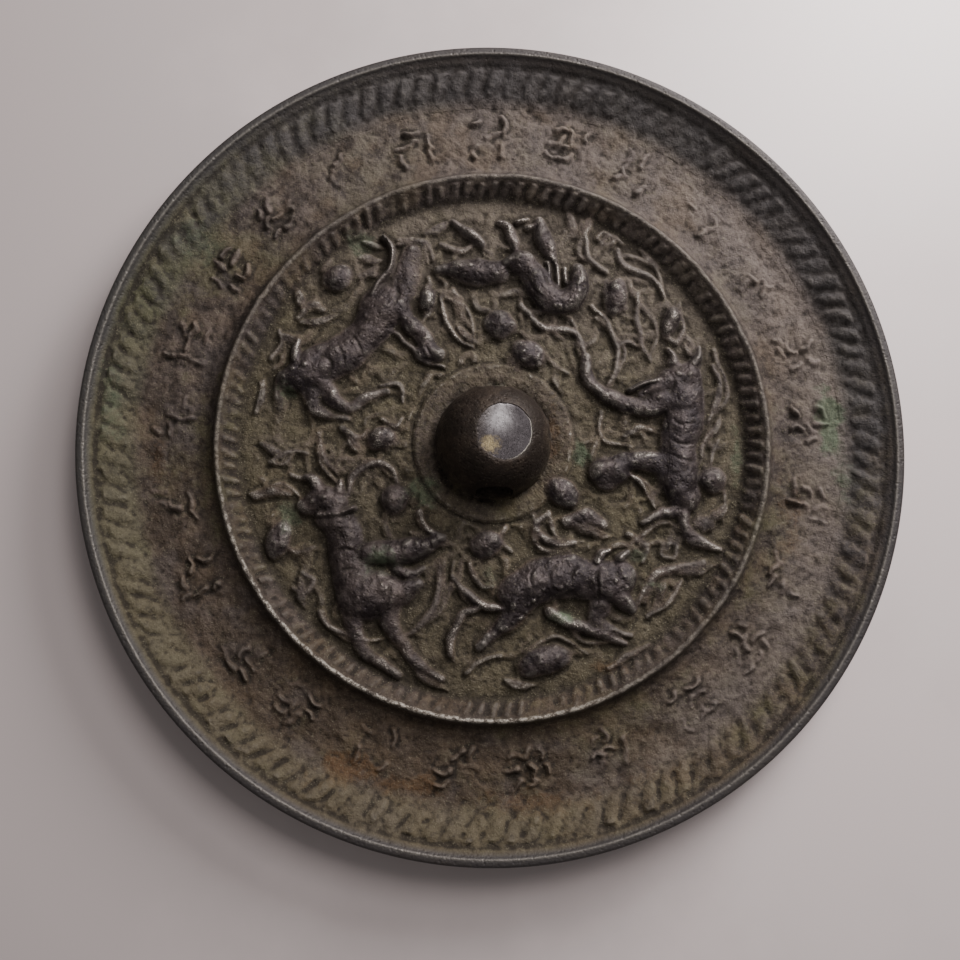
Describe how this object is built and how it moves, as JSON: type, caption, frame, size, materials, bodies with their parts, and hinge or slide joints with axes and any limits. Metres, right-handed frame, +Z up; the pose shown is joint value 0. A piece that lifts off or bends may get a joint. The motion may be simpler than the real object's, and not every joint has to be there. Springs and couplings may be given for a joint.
{
  "type": "bronze mirror",
  "caption": "Round cast bronze hand mirror lying on its polished face, its back with a raised toothed rim, a band of worn strokes, beasts among vines and a bored knob for a cord.",
  "frame": {"origin": "middle of the polished face, which the mirror lies on", "axes": "+Z up through the decorated back, +Y towards the top of the back as the picture shows it, +X to the right"},
  "size_m": [0.1198, 0.12, 0.013],
  "materials": {
    "bronze": "dark worn patina with olive and green corrosion"
  },
  "bodies": {
    "root": {"mirror_casting": "bronze"}
  },
  "joints": []
}
